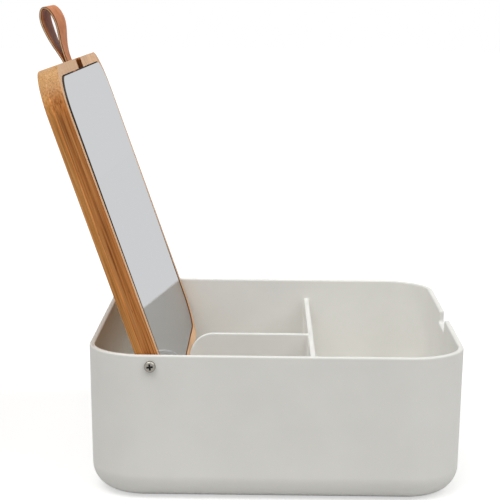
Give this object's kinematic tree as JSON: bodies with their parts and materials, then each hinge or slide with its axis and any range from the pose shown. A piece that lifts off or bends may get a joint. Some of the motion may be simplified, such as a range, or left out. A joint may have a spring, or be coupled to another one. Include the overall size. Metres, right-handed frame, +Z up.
{
  "type": "vanity box",
  "caption": "Rounded open tub with moulded divided bays, a notched front rim, and a hinged bamboo lid with an inset mirror and a leather loop handle.",
  "frame": {"origin": "on the table, at the middle of the flat underside of the tub", "axes": "+Z up; -Y towards the notched front; the lid's pivot axis runs along X near the +Y side"},
  "size_m": [0.224, 0.2337, 0.2554],
  "materials": {
    "tub_plastic": "satin",
    "back_ply_bamboo": "satin lacquer",
    "face_ply_bamboo": "satin lacquer",
    "mirror": "polished",
    "tape": "matte",
    "leather": "satin",
    "screw_steel": "nickel plated",
    "washer_nylon": "matte"
  },
  "bodies": {
    "tub": {"tub": "tub_plastic"},
    "lid": {"lid_back_ply": "back_ply_bamboo", "lid_face_ply": "face_ply_bamboo", "mirror_glass": "mirror", "mirror_tapes": "tape", "strap": "leather", "strap_screws": "screw_steel", "pivot_screws": "screw_steel", "pivot_washers": "washer_nylon"}
  },
  "joints": [
    {"name": "lid_hinge", "type": "hinge", "parent": "tub", "child": "lid", "pos_m": [0, 0.0655, 0.0728], "axis": [1, 0, 0], "range_deg": [0, 109.7]}
  ]
}
